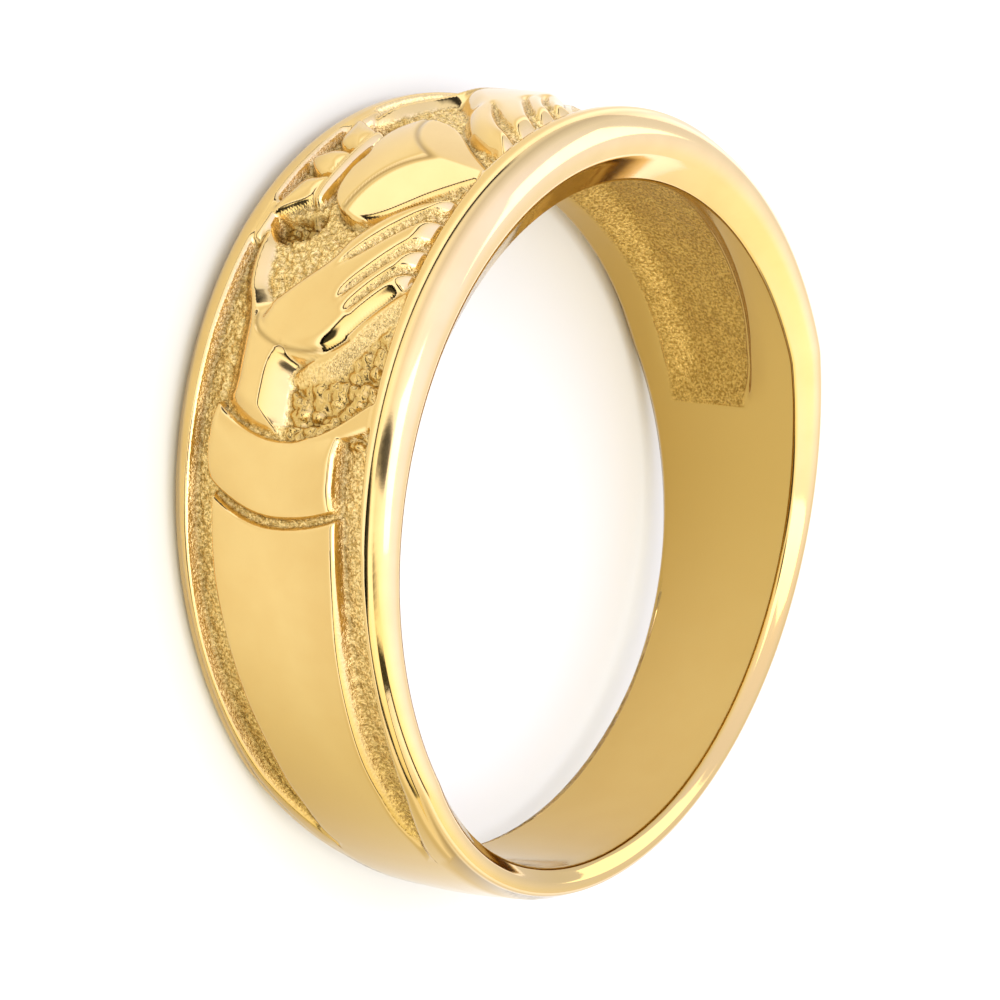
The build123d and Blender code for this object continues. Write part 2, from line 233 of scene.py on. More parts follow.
# Columns between the middle, the sleeve's wall, the channel's outer wall and the crest corner
CHANNEL_COLUMNS = (5, 4, 3, 9, 3, 2, 4)
CHANNEL_LEAST = 0.02
SLEEVE_BAND = 0.45
WALL_BAND = 0.08
RAIL_BAND = 0.25
# Columns between the finger hole's lips, the hollow's walls and its rolled front lip
BORE_COLUMNS = (2, 2, 28, 4, 4, 2)
HOLLOW_BACK_BAND = 0.03
HOLLOW_WALL_BAND = 0.17
HOLLOW_FRONT_BAND = 0.01
ROLL_TO_LIP = 0.1
# Share of a row's step between the samples that each point's height is the mean of
SAMPLE_SHARE = 0.25
# How far beside an outline its distance is worked out, more than any wall or bank is wide, and
# what stands for a distance beyond that
LINE_REACH = 1.0
FAR = 9.0

# Edges of the field and the channels: share of CHANNEL_END_ANGLE, of RAIL_WIDTH, of FIELD_DEPTH
FIELD_TABLE = np.array([
    (0.00, 1.00, 1.0),
    (0.22, 0.93, 1.0),
    (0.45, 0.80, 1.0),
    (0.58, 0.71, 1.0),
    (0.72, 0.69, 1.0),
    (0.86, 0.80, 0.88),
    (0.945, 0.96, 0.58),
    (1.00, 1.10, 0.25),
    (1.08, 1.26, 0.0),
])

# Sleeve between the channels: share of CHANNEL_END_ANGLE, of the rail's width, of CHANNEL_WIDTH
SLEEVE_TABLE = np.array([
    (0.40, 0.83, 1.00),
    (0.45, 0.80, 1.00),
    (0.58, 0.71, 0.98),
    (0.72, 0.69, 1.00),
    (0.86, 0.80, 0.90),
    (0.945, 0.96, 0.50),
    (1.00, 1.10, 0.08),
    (1.08, 1.19, 0.00),
])

# Hollow's edges: share of HOLLOW_END_ANGLE, of half HOLLOW_WIDTH to the front and to the back,
# and where the front lip starts to roll in, in millimetres before that edge
HOLLOW_TABLE = np.array([
    (0.00, 1.00, 1.00, 0.75),
    (0.40, 0.98, 1.00, 0.75),
    (0.60, 0.88, 0.98, 0.70),
    (0.80, 0.70, 0.92, 0.40),
    (1.00, 0.42, 0.90, 0.20),
    (1.10, 0.42, 0.90, 0.20),
])

# Outlines on the top: s, the length round the crest from the heart's middle, and w
HEART_HALF = [(0, -0.90), (0.52, -1.07), (1.08, -1.10), (1.64, -0.97), (2.07, -0.65),
              (2.31, -0.25), (2.37, 0.12), (2.26, 0.55), (1.98, 0.98), (1.57, 1.45), (1.12, 1.95),
              (0.69, 2.5), (0.32, 3.0), (0, 3.45)]
CROWN_BAND = [(-1.33, -1.52), (1.33, -1.52), (1.62, -1.88), (0, -1.92), (-1.62, -1.88)]
MIDDLE_LEAF = [(-0.36, -1.80), (-0.54, -2.40), (-0.30, -2.78), (0, -2.97), (0.30, -2.78),
               (0.54, -2.40), (0.36, -1.80)]
SIDE_LEAF = [(0.74, -1.80), (0.74, -2.15), (0.88, -2.60), (1.50, -2.85), (2.32, -2.95),
             (1.98, -2.30), (1.52, -1.75)]
ARM = [(2.59, -2.90), (3.67, -2.95), (4.74, -2.72), (5.39, -2.45), (6.25, -2.30), (7.55, -2.20),
       (8.25, -2.20), (8.73, -1.80), (9.04, -1.20), (9.20, -0.50), (9.28, 0.02), (8.80, 0.02),
       (7.90, 0.0), (7.11, 0.05), (6.80, 0.50), (6.40, 1.10), (5.90, 0.90), (5.60, 0.0),
       (5.40, -0.90), (5.20, -1.45), (4.85, -1.80), (4.53, -2.00), (3.67, -2.20), (3.13, -2.40)]
PALM = [(5.95, -1.72), (5.45, -1.58), (5.10, -1.45), (4.40, -0.80), (3.67, -0.10), (3.02, 0.20),
        (2.16, 0.90), (1.62, 1.60), (1.29, 2.30), (1.23, 3.02), (2.4, 3.06), (3.6, 3.06),
        (4.55, 3.04), (4.80, 2.70), (5.25, 2.30), (5.80, 1.90), (6.40, 1.45), (6.85, 0.85),
        (7.02, -0.25), (6.62, -1.25)]
BACK_BRIDGE = [(1.75, -3.15), (3.0, -3.2), (3.3, -2.95), (2.6, -2.8), (1.9, -2.9)]

# Finger grooves: s, w, half width and depth of each place from knuckle to tip
FINGER_GROOVES = [
    [(4.10, 0.55, 0.01, 0.02), (3.75, 0.80, 0.06, 0.10), (2.81, 1.70, 0.11, 0.13),
     (2.15, 2.50, 0.15, 0.15), (1.83, 3.10, 0.18, 0.16)],
    [(5.00, 1.05, 0.01, 0.02), (4.70, 1.20, 0.05, 0.09), (3.84, 1.95, 0.09, 0.12),
     (3.20, 2.60, 0.12, 0.14), (2.88, 3.10, 0.14, 0.15)],
    [(5.35, 1.45, 0.01, 0.02), (5.10, 1.60, 0.05, 0.08), (4.50, 2.10, 0.07, 0.11),
     (4.00, 2.65, 0.09, 0.13), (3.80, 3.10, 0.11, 0.14)],
]

# Crease between palm and wrist: s and w
PALM_CREASE = [(5.70, -1.66), (6.25, -1.30), (6.62, -0.50), (6.66, 0.40), (6.50, 1.05),
               (6.15, 1.60)]
PALM_CREASE_WIDTH = 0.05
PALM_CREASE_DEPTH = 0.07

# Rough pit beside the crown
PIT = [(1.95, -1.30), (2.45, -1.20), (2.90, -1.50), (3.15, -2.10), (3.00, -2.60), (2.60, -2.88),
       (2.30, -2.80), (2.20, -2.30), (1.95, -1.80)]
PIT_DEPTH = 0.34
PIT_WALL = (-0.05, 0.15)

# Raised rim between the nugget pocket and the cuff: s, w, half width and height over the floor
POCKET_RIM = [(9.42, 0.10, 0.05, 0.20), (9.32, 0.45, 0.09, 0.30), (9.22, 0.90, 0.11, 0.34),
              (9.05, 1.50, 0.14, 0.36), (8.78, 2.15, 0.22, 0.36), (8.42, 2.80, 0.30, 0.36),
              (8.25, 3.10, 0.34, 0.36)]
RIM_WALL = (-0.14, 0.06)

# Cuff, between two grooves of one raised bed, with bowed ends and rolled sides
WRIST_END = 9.0
CUFF_GAP = 0.24
CUFF_LENGTH = 2.3
CUFF_BOW = 0.85
CUFF_FRONT_BOW_SHARE = 0.5
CUFF_HALF = 2.2
CUFF_BACK = 2.4
CUFF_FRONT = 2.08
CUFF_SIDE_WALL = 0.12
CUFF_ROLL = 0.25
CUFF_ROLL_DROP = 0.08
GROOVE_FLOOR = -0.2
BED_BEFORE = 0.5
BED_BEHIND = 0.4
BED_WALL = 0.1

# Camera
VIEW_AZIMUTH = 49.54
VIEW_ELEVATION = 36.97
VIEW_ROLL = -96.67
VIEW_DISTANCE = 205.02
LENS = 256.4
AIM_RIGHT = -0.76
AIM_UP = 0.49
CAMERA_CLIP = (0.01, 10)

# Lights: name, azimuth, elevation, size in metres and power in watts, and how far off in metres
LIGHTS = [
    ("key", 60, 70, 0.3, 0.6),
    ("side", -100, 40, 0.25, 0.3),
]
LIGHT_DISTANCE = 0.5
STRAIGHT_UP = np.array([0, 0, 1])

# Studio: sine of the elevation and the light from there, and how much more comes from one side
STUDIO = [
    (0.0, (1.45, 1.42, 1.45)),
    (0.3, (1.5, 1.53, 1.75)),
    (0.55, (1.6, 1.66, 2.25)),
    (0.75, (1.65, 1.74, 2.75)),
    (1.0, (1.7, 1.78, 3.0)),
]
SIDE_AZIMUTH = 100
SIDE_LIGHT = (0.25, 0.20, -0.05)
WHITE = (1, 1, 1)
# Dark gap over the floor by the sine of the elevation, and the side away from the camera, which
# has none
GAP = [(0.0, (0.04, 0.04, 0.04)), (0.12, (0.04, 0.04, 0.04)), (0.20, WHITE)]
FAR_SIDE = [(0.0, (0, 0, 0)), (0.15, WHITE)]
# Dark spots, the camera and a stand beside it: azimuth, elevation and stops by cosine
DARK_SPOTS = [
    (VIEW_AZIMUTH, VIEW_ELEVATION, [(0.0, WHITE), (0.985, WHITE), (0.994, (0.08, 0.08, 0.08))]),
    (72, 3, [(0.0, WHITE), (0.92, WHITE), (0.955, (0.04, 0.04, 0.04))]),
]

# Floor: its size in metres, and its colours by the distance from the origin in metres, darker
# close round the ring as painted shade
FLOOR_SIZE = 3
FLOOR_ROUGHNESS = 0.9
FLOOR_COLOURS = [
    (0.0175, (0.79, 0.77, 0.56)),
    (0.0195, (0.68, 0.63, 0.42)),
    (0.024, (0.70, 0.66, 0.46)),
    (0.036, (0.99, 0.97, 0.84)),
]

# Gold: colours, two for a blasted surface's low and high specks, which are painted shade in the
# grain's pits and painted glints on its tops
POLISHED_GOLD = (0.74, 0.525, 0.20, 1)
WARM_GOLD = (0.72, 0.50, 0.185, 1)
BLASTED_GOLD = ((0.50, 0.33, 0.09, 1), (1.0, 0.74, 0.29, 1))
# Painted shade: deeper golds towards the shank, in the finger hole and on the pocket's lumps
SHADED_GOLD = (0.52, 0.34, 0.088, 1)
SHADED_BLASTED_GOLD = ((0.36, 0.215, 0.038, 1), (0.67, 0.44, 0.108, 1))
# Crevices: patina in hollows, and painted shade at walls' feet, along creases and in the rough pit
CREVICE_GOLD = (0.20, 0.12, 0.03, 1)
CREVICE_SHARE = 0.6
# Noises, each a scale per metre and a detail, and the stretch of a noise that is used
SMUDGE_NOISE = (900, 4)
GRAIN_NOISE = (26000, 2)
WORM_NOISE = (12500, 3)
NOISE_STRETCH = (0.35, 0.65)
SPECK_STRETCH = (0.38, 0.6)
POLISHED_ROUGHNESS = (0.06, 0.11)
BLASTED_ROUGHNESS = (0.24, 0.36)
# Bump: its height in metres, its strength from polished to blasted and the worms' share in it
BUMP_DISTANCE = 0.00007
BUMP_STRENGTH = (0.01, 0.9)
BUMP_WORM_SHARE = 0.6


def cosd(angle):
    """Cosine of an angle in degrees."""
    return np.cos(np.radians(angle))


def swell(angle):
    """How far the band has grown from shank to top, 0 to 1."""
    return ((1 + cosd(angle)) / 2) ** SWELL_EASE


def wall_at(angle):
    """Thickness of the band at an angle from the heart."""
    return SHANK_WALL + (TOP_WALL - SHANK_WALL) * swell(angle)


def flare_at(angle):
    """How much wider the band is at its widest line than at the finger hole, on each side."""
    return SHANK_FLARE + (TOP_FLARE - SHANK_FLARE) * ((1 + cosd(angle)) / 2) ** FLARE_EASE


def rail_radius(angle):
    """Radius of the rail crest."""
    return HOLE_RADIUS + wall_at(angle)


def wrapped(angle):
    """The same angle between -180 and 180."""
    return (angle + 180) % 360 - 180


def half_width_at(angle):
    """Half width across the widest line of the side faces."""
    turn = np.abs(wrapped(angle))
    held = np.minimum(turn, SHOULDER_ANGLE)
    heart_reach = HOLE_RADIUS + WIDEST_SHARE * TOP_WALL
    reach = (HOLE_RADIUS + WIDEST_SHARE * wall_at(held)) * cosd(held)
    straight = TOP_WIDTH / 2 - (heart_reach - reach) * math.tan(math.radians(SIDE_LEAN))
    left = np.clip((180 - turn) / (180 - SHOULDER_ANGLE), 0, 1)
    shank = SHANK_WIDTH / 2 + (straight - SHANK_WIDTH / 2) * left ** SHANK_EASE
    return np.where(turn <= SHOULDER_ANGLE, straight, shank)


def smooth_rows(x, rows, column):
    """A smooth curve through one column of a table, whose first column is where each row lies."""
    places = rows[:, 0]
    values = rows[:, column]
    slopes = np.gradient(values, places)
    at = np.clip(x, places[0], places[-1])
    index = np.clip(np.searchsorted(places, at, side="right") - 1, 0, len(places) - 2)
    width = places[index + 1] - places[index]
    t = (at - places[index]) / width
    start = values[index] * (1 + 2 * t) * (1 - t) ** 2 + slopes[index] * width * t * (1 - t) ** 2
    end = values[index + 1] * t ** 2 * (3 - 2 * t) - slopes[index + 1] * width * t ** 2 * (1 - t)
    return start + end


def step(x, low, high):
    """0 below low, 1 above high and smooth between."""
    t = np.clip((x - low) / (high - low), 0, 1)
    return t * t * (3 - 2 * t)


CREST = float(rail_radius(0))


def arc(angle):
    """Length round the crest at the heart, in millimetres."""
    return np.radians(angle) * CREST


def smooth_line(places, closed=True, each=6):
    """A dense smooth line through places, whose first two columns are s and w."""
    spots = np.array(places, float)
    count = len(spots)
    if closed:
        before, after, beyond = (np.roll(spots, shift, 0) for shift in (1, -1, -2))
        spans = count
    else:
        before = np.vstack([spots[:1], spots[:-1]])
        after = np.vstack([spots[1:], spots[-1:]])
        beyond = np.vstack([spots[2:], spots[-1:], spots[-1:]])
        spans = count - 1
    line = []
    for t in np.arange(each) / each:
        weights = (-t + 2 * t ** 2 - t ** 3, 2 - 5 * t ** 2 + 3 * t ** 3,
                   t + 4 * t ** 2 - 3 * t ** 3, -t ** 2 + t ** 3)
        line.append(sum(k * p for k, p in zip(weights, (before, spots, after, beyond))) / 2)
    line = np.array(line).transpose(1, 0, 2)[:spans].reshape(-1, spots.shape[1])
    if not closed:
        line = np.vstack([line, spots[-1:]])
    return line


def distance_in(line, s, w):
    """Distance from a closed line, positive inside, worked out only near it."""
    depth = np.full(s.shape, -FAR)
    near = (s > line[:, 0].min() - LINE_REACH) & (s < line[:, 0].max() + LINE_REACH)
    s, w = s[near], w[near]
    best = np.full(s.shape, FAR ** 2)
    inside = np.zeros(s.shape, bool)
    for (x0, y0), (x1, y1) in zip(line, np.roll(line, -1, 0)):
        dx, dy = x1 - x0, y1 - y0
        length = dx * dx + dy * dy
        if length == 0:
            continue
        t = np.clip(((s - x0) * dx + (w - y0) * dy) / length, 0, 1)
        best = np.minimum(best, (s - x0 - t * dx) ** 2 + (w - y0 - t * dy) ** 2)
        if dy != 0:
            crossing = (y0 > w) != (y1 > w)
            inside ^= crossing & (s < x0 + (w - y0) * dx / dy)
    depth[near] = np.where(inside, 1, -1) * np.sqrt(best)
    return depth


def along_line(line, s, w):
    """Distance from an open line, and its other columns at the nearest place on it."""
    best = np.full(s.shape, np.inf)
    values = [np.zeros(s.shape) for _ in range(line.shape[1] - 2)]
    for start, end in zip(line[:-1], line[1:]):
        dx, dy = end[0] - start[0], end[1] - start[1]
        t = np.clip(((s - start[0]) * dx + (w - start[1]) * dy) / (dx * dx + dy * dy), 0, 1)
        gap = np.hypot(s - start[0] - t * dx, w - start[1] - t * dy)
        nearer = gap < best
        best = np.where(nearer, gap, best)
        for number, value in enumerate(values):
            here = start[2 + number] + (end[2 + number] - start[2 + number]) * t
            values[number] = np.where(nearer, here, value)
    return best, values


def scatter(i, j, seed):
    """A repeatable random number from 0 to 1 for each pair of numbers."""
    first, second, third = CHANCE_WEIGHTS
    value = np.sin(i * first + j * second + seed * third) * CHANCE_GAIN
    return value - np.floor(value)


def mottle(s, w, size, seed):
    """Smooth random values from -1 to 1 in patches of a size."""
    x, y = s / size, w / size
    i, j = np.floor(x), np.floor(y)
    u, v = step(x - i, 0, 1), step(y - j, 0, 1)
    low = scatter(i, j, seed) * (1 - u) + scatter(i + 1, j, seed) * u
    high = scatter(i, j + 1, seed) * (1 - u) + scatter(i + 1, j + 1, seed) * u
    return 2 * (low * (1 - v) + high * v) - 1


def pebbles(s, w, size, seed):
    """Rounded lumps of a size that overlap: 1 on the tallest tops and 0 in the deepest gaps."""
    x, y = s / size, w / size
    i, j = np.floor(x), np.floor(y)
    height = np.zeros(s.shape)
    room = 1 - 2 * LUMP_MARGIN
    for di in (-1, 0, 1):
        for dj in (-1, 0, 1):
            column, row = i + di, j + dj
            gap_x = x - column - LUMP_MARGIN - room * scatter(column, row, seed)
            gap_y = y - row - LUMP_MARGIN - room * scatter(column, row, seed + 1)
            radius = LUMP_RADIUS[0] + LUMP_RADIUS[1] * scatter(column, row, seed + 2)
            tall = LUMP_HEIGHT[0] + LUMP_HEIGHT[1] * scatter(column, row, seed + 3)
            height = np.maximum(height, tall * (1 - (gap_x ** 2 + gap_y ** 2) / radius ** 2))
    return height


def nuggets(s, w, layers, sunk):
    """Layers of lumps, sunk into the surface by a depth."""
    return sum(tall * pebbles(s, w, size, seed) for tall, size, seed in layers) - sunk


def grain(s, w, grains, patches):
    """Relief of a blasted surface: a random height at each point, and uneven patches."""
    tall, around, along, seed = grains
    height = tall * (scatter(s * around, w * along, seed) - 0.5)
    for tall, size, seed in patches:
        height = height + tall * mottle(s, w, size, seed)
    return height


def pillow(d, foot, form):
    """Height by distance inside an outline: a wall from foot to edge, then a swell to the top."""
    edge, top, wall, reach, power = form
    swollen = edge + (top - edge) * (1 - (1 - np.clip(d / reach, 0, 1)) ** power)
    return foot + (swollen - foot) * step(d, -wall / 2, wall / 2)


def lower_of(first, second, blend):
    """The lower of two heights, rounded where they meet."""
    share = np.clip(0.5 + (second - first) / (2 * blend), 0, 1)
    return second + (first - second) * share - blend * share * (1 - share)


def cuff_bow(w):
    """How far the cuff's ends are bowed towards the heart."""
    share = np.where(w < 0, 1, CUFF_FRONT_BOW_SHARE)
    return CUFF_BOW * share * (w / CUFF_HALF) ** 2


def field_edge(turn):
    """Half width of the sunk field and of the channels' outer edges."""
    share = smooth_rows(turn / CHANNEL_END_ANGLE, FIELD_TABLE, 1)
    return half_width_at(turn) - RAIL_WIDTH * share


def sleeve_edge(turn):
    """Half width of the sleeve between the channels."""
    at = turn / CHANNEL_END_ANGLE
    rail = RAIL_WIDTH * smooth_rows(at, SLEEVE_TABLE, 1)
    return half_width_at(turn) - rail - CHANNEL_WIDTH * smooth_rows(at, SLEEVE_TABLE, 2)


def shaped(outline, s, w, foot, form):
    """Height of a pillow inside an outline."""
    return pillow(distance_in(smooth_line(outline), s, w), foot, form)


def heart_height(s, w, foot):
    """The heart, a dome with a flank on each side, and where the crease between them lies."""
    line = smooth_line(HEART_HALF + [(-x, y) for x, y in HEART_HALF[-2:0:-1]])
    d = distance_in(line, s, w)
    bulge = s ** 2 / (2 * CREST)
    dome = HEART_RISE - (s ** 2 + (w - HEART_MIDDLE) ** 2) / (2 * HEART_DOME_RADIUS)
    wide, high = HEART_WIDEST
    drop = HEART_POINT - high
    side = np.sqrt(s ** 2 + HEART_POINT_ROUND)
    into = ((HEART_POINT - w) * wide - side * drop) / math.hypot(wide, drop)
    flank = HEART_FLANK_SLOPE * into - HEART_FLANK_DROP
    crease = np.exp(-((dome - flank) / RIDGE_CREASE_WIDTH) ** 2)
    top = lower_of(dome, flank, RIDGE_BLEND) - RIDGE_CREASE * crease + bulge
    top = top - HEART_EDGE_DROP * (1 - np.clip(d / HEART_EDGE, 0, 1)) ** 2
    height = foot + (top - foot) * step(d, -HEART_WALL / 2, HEART_WALL / 2)
    return height, crease * step(d, *RIDGE_FADE)


def palm_height(s, w, foot):
    """The palm with its fingers, and how deep the grooves between them are cut."""
    beside = np.full(s.shape, FAR)
    depth = np.zeros(s.shape)
    for line in FINGER_GROOVES:
        gap, (wide, deep) = along_line(smooth_line(line, closed=False), s, w)
        beside = np.minimum(beside, gap - wide)
        depth = np.maximum(depth, deep * step(wide - gap, *GROOVE_WALL))
    d = distance_in(smooth_line(PALM), s, w)
    dome = 1 - (1 - np.clip((d - PALM_SHOULDER) / PALM_REACH, 0, 1)) ** 2
    finger = 1 - (1 - np.clip(beside / FINGER_REACH, 0, 1)) ** 2
    rise = PALM_RISE * dome * (1 - FINGER_SHARE * (1 - finger) * step(w, *FINGER_SIDE))
    palm = foot + (PALM_EDGE - foot) * step(d, *PALM_WALL) + rise - depth
    bank = BANK_HEIGHT * (1 - step(-d, 0, BANK_REACH)) * step(s + w, *BANK_SIDE)
    blasted = BANK_CUT * step(-d, 0, GROOVE_START) * step(bank, *BANK_BLAST)
    cut = np.maximum(depth * step(d, 0, GROOVE_START), blasted)
    return np.maximum(palm, foot + bank), cut


def cuff_and_sleeve(s, w, turn, level, deep):
    """Heights of the cuff, of the sleeve and of the raised bed of the grooves between them, with
    how far each place is inside the sleeve and the bed, and how soft the sleeve's walls are."""
    cuff_start = WRIST_END + CUFF_GAP - cuff_bow(w)
    cuff_end = cuff_start + CUFF_LENGTH
    sleeve_start = cuff_end + CUFF_GAP
    into_bed = np.min([s - cuff_start + BED_BEFORE, sleeve_start + BED_BEHIND - s,
                       CUFF_HALF - np.abs(w)], axis=0)
    # Outside the bed this height lies a millimetre lower, under the field
    bed = GROOVE_FLOOR - 1 + step(into_bed, 0, BED_WALL)
    side = np.minimum(w + CUFF_BACK, CUFF_FRONT - w)
    cuff = pillow(np.minimum(s - cuff_start, cuff_end - s), deep, CUFF_FORM)
    cuff = cuff - CUFF_ROLL_DROP * (1 - np.clip(side / CUFF_ROLL, 0, 1)) ** 2
    cuff = deep + (cuff - deep) * step(side, -CUFF_SIDE_WALL / 2, CUFF_SIDE_WALL / 2)
    soft = step(turn, *SOFT_ANGLES)
    inside = np.minimum(s - sleeve_start, sleeve_edge(turn) - np.abs(w))
    form = (level - SLEEVE_EDGE_DROP, level, SLEEVE_WALL + SOFT_WALL * soft, SLEEVE_REACH, 2)
    sleeve = pillow(inside - SOFT_SHIFT * soft, deep, form)
    return cuff, sleeve, bed, inside, into_bed, soft


def outer_shape(angle, w):
    """Height of the outer surface over the rail crest, and shares from 0 to 1 of how matte, how
    lumpy, how far from walls and how dark it is, which is painted shade in creases and the pit."""
    turn = np.abs(wrapped(angle))
    s = arc(turn)
    signed = arc(wrapped(angle))
    half = half_width_at(turn)
    level = BAND_CROWN * np.clip(1 - (w / (half - CREST_END)) ** 2, 0, 1)
    start = half - CREST_END - CREST_EASE
    over = np.clip((np.abs(w) - start) / (CREST_END - CREST_START + CREST_EASE), 0, 1)
    level = level - CREST_DROP * over ** 2
    edge = field_edge(turn)
    deep = -FIELD_DEPTH * smooth_rows(turn / CHANNEL_END_ANGLE, FIELD_TABLE, 2)
    deep = np.where(turn > FIELD_TABLE[-1, 0] * CHANNEL_END_ANGLE, 0, deep)
    rough = step(-deep, *ROUGH_DEPTHS)

    cuff, sleeve, bed, inside, into_bed, soft = cuff_and_sleeve(s, w, turn, level, deep)
    floor = np.maximum(deep, bed)
    palm, cut = palm_height(s, w, deep)
    heart, ridge = heart_height(signed, w, deep)
    gap, (wide, tall) = along_line(smooth_line(POCKET_RIM, closed=False), s, w)
    rim = deep + tall * step(wide - gap, *RIM_WALL)
    height = np.max([
        floor, heart, palm, rim, cuff, sleeve,
        shaped(CROWN_BAND, signed, w, deep, CROWN_BAND_FORM),
        shaped(MIDDLE_LEAF, signed, w, deep, LEAF_FORM),
        shaped(SIDE_LEAF, s, w, deep, LEAF_FORM),
        shaped(ARM, s, w, deep, ARM_FORM),
        shaped(BACK_BRIDGE, s, w, deep, BRIDGE_FORM),
    ], axis=0)

    bare = 1 - step(height - floor, *BARE_RISES)
    pit = step(distance_in(smooth_line(PIT), s, w), *PIT_WALL)
    gap, _ = along_line(smooth_line(PALM_CREASE, closed=False), s, w)
    crease = np.exp(-(gap / PALM_CREASE_WIDTH) ** 2)
    height = height - PIT_DEPTH * pit * bare - PALM_CREASE_DEPTH * crease
    # Painted shade along the heart's ridge crease and the palm's crease and in the rough pit
    dark = np.max([ridge, crease, pit * bare], axis=0)
    bare = bare * (1 - soft) + (1 - step(inside, *SOFT_GRAIN)) * soft
    matte = np.maximum(bare * rough, step(cut, *CUT_DEPTHS) * step(palm - floor, *PALM_RISES))
    lumps = bare * rough * (np.abs(w) < edge - LUMPS_FROM_RAIL) * (s < LUMPS_END)
    lumps = lumps * (1 - step(into_bed, *LUMPS_FROM_BED) * (w < LUMPS_BESIDE_BED))
    wall = step(edge - np.abs(w), -RAIL_WALL / 2, RAIL_WALL / 2)
    height = level + (height - level) * wall
    return height, matte * step(wall, *MATTE_WALL), lumps, step(wall, *FLAT_WALL), dark


def outer_skin(angle, w):
    """Radius of the outer surface, and shares from 0 to 1 of how matte it is, how much painted
    shade deepens its gold and how much painted shade darkens its creases and pit. Each height is
    the mean of four places, so that edges lie smooth."""
    turn = np.abs(wrapped(angle))
    s = arc(wrapped(angle))
    spread = SAMPLE_SHARE * RELIEF_STEP
    shapes = []
    for across, along in ((-1, -1), (-1, 1), (1, -1), (1, 1)):
        shapes.append(outer_shape(angle + across * spread, w + along * arc(spread)))
    height, matte, lumps, flat, dark = (np.mean(values, axis=0) for values in zip(*shapes))
    lumps = np.clip(2 * blurred(lumps, LUMP_BLUR) - 1, 0, 1)
    raised = lumps * step(w, *LUMPS_BACK)
    pocket = np.maximum(step(arc(turn), *POCKET_START) * step(w, *POCKET_SIDE), dark)
    coarse = nuggets(s, w, POCKET_LUMPS, POCKET_SUNK)
    medium = nuggets(s, w, FIELD_LUMPS, FIELD_SUNK)
    height = height + raised * (pocket * coarse + (1 - pocket) * medium)
    fine = grain(s, w, FIELD_GRAIN, FIELD_PATCHES)
    height = height + flat * matte * (1 - LUMP_SMOOTH * raised) * fine
    matte = matte * (1 - LUMP_POLISH * raised * pocket)
    # Painted shade: deeper gold towards the shank and on the nugget pocket's lumps
    tone = np.maximum(step(turn, *OUTER_SHADE_ANGLES), POCKET_SHADE * pocket * lumps)
    return rail_radius(turn) + height, matte, tone, dark


def hollow_edges(at):
    """Half widths of the hollow to the front and back, and how far before its front edge the lip
    starts to roll in, at a share of HOLLOW_END_ANGLE."""
    front, back, roll = (smooth_rows(at, HOLLOW_TABLE, column) for column in (1, 2, 3))
    return HOLLOW_WIDTH / 2 * front, HOLLOW_WIDTH / 2 * back, roll


def inner_skin(angle, w):
    """Radius of the finger hole's wall with the hollow, how matte it is and its painted shade
    share.
    """
    turn = np.abs(wrapped(angle))
    s = np.radians(wrapped(angle)) * HOLE_RADIUS
    front, back, roll = hollow_edges(turn / HOLLOW_END_ANGLE)
    depth = HOLLOW_END_DEPTH + (HOLLOW_TOP_DEPTH - HOLLOW_END_DEPTH) * swell(turn)
    ended = 1 - step(turn, HOLLOW_END_ANGLE - HOLLOW_RUNOUT, HOLLOW_END_ANGLE)
    open_end = 1 - step(turn, HOLLOW_END_ANGLE - HOLLOW_END_WALL, HOLLOW_END_ANGLE)
    rolled = np.clip((front + roll - w) / roll, 0, 1) ** HOLLOW_LIP_POWER
    lip = HOLLOW_LIP * rolled * step(w, *HOLLOW_LIP_SIDE)
    sunk = step(front - w, 0, HOLLOW_FRONT_WALL) * step(back + w, 0, HOLLOW_BANK)
    floor = np.maximum(depth * ended, HOLLOW_LEAST_DEPTH) * sunk
    matte = open_end * step(back + w, *HOLLOW_BACK_GRAIN) * step(front - w, *HOLLOW_FRONT_GRAIN)
    radius = HOLE_RADIUS + np.maximum(floor, ended * lip) * open_end
    radius = radius + matte * grain(s, w, HOLLOW_GRAIN, HOLLOW_PATCHES)
    # Painted shade: the finger hole's wall is a deeper gold, less deep at the shank
    return radius, matte, 1 - BORE_SHADE_LOSS * step(turn, *BORE_SHADE_ANGLES)


def section_line(angle, side):
    """The side face at an angle, from the crest corner round the widest line to the bore."""
    wall = wall_at(angle)
    half = float(half_width_at(angle))
    flare = flare_at(angle)
    corner = (HOLE_RADIUS + wall - CREST_DROP, half - CREST_START)
    widest = (HOLE_RADIUS + WIDEST_SHARE * wall, half)
    bend = (HOLE_RADIUS + BEND_SHARE * wall, half - BEND_FLARE_SHARE * flare)
    foot = half - flare
    places = arc_through(corner, widest, bend, FACE_POINTS)
    lean = math.atan((bend[1] - foot) / (BEND_SHARE * wall))
    centre_r = HOLE_RADIUS + LIP_RADIUS
    centre_w = foot - LIP_RADIUS * math.tan(math.pi / 4 - lean / 2)
    for share in np.linspace(0, 1, LIP_POINTS + 1):
        turn = (math.pi / 2 - lean) * (1 - share)
        places.append((centre_r - LIP_RADIUS * math.cos(turn),
                       centre_w + LIP_RADIUS * math.sin(turn)))
    return [(r, side * w) for r, w in places]


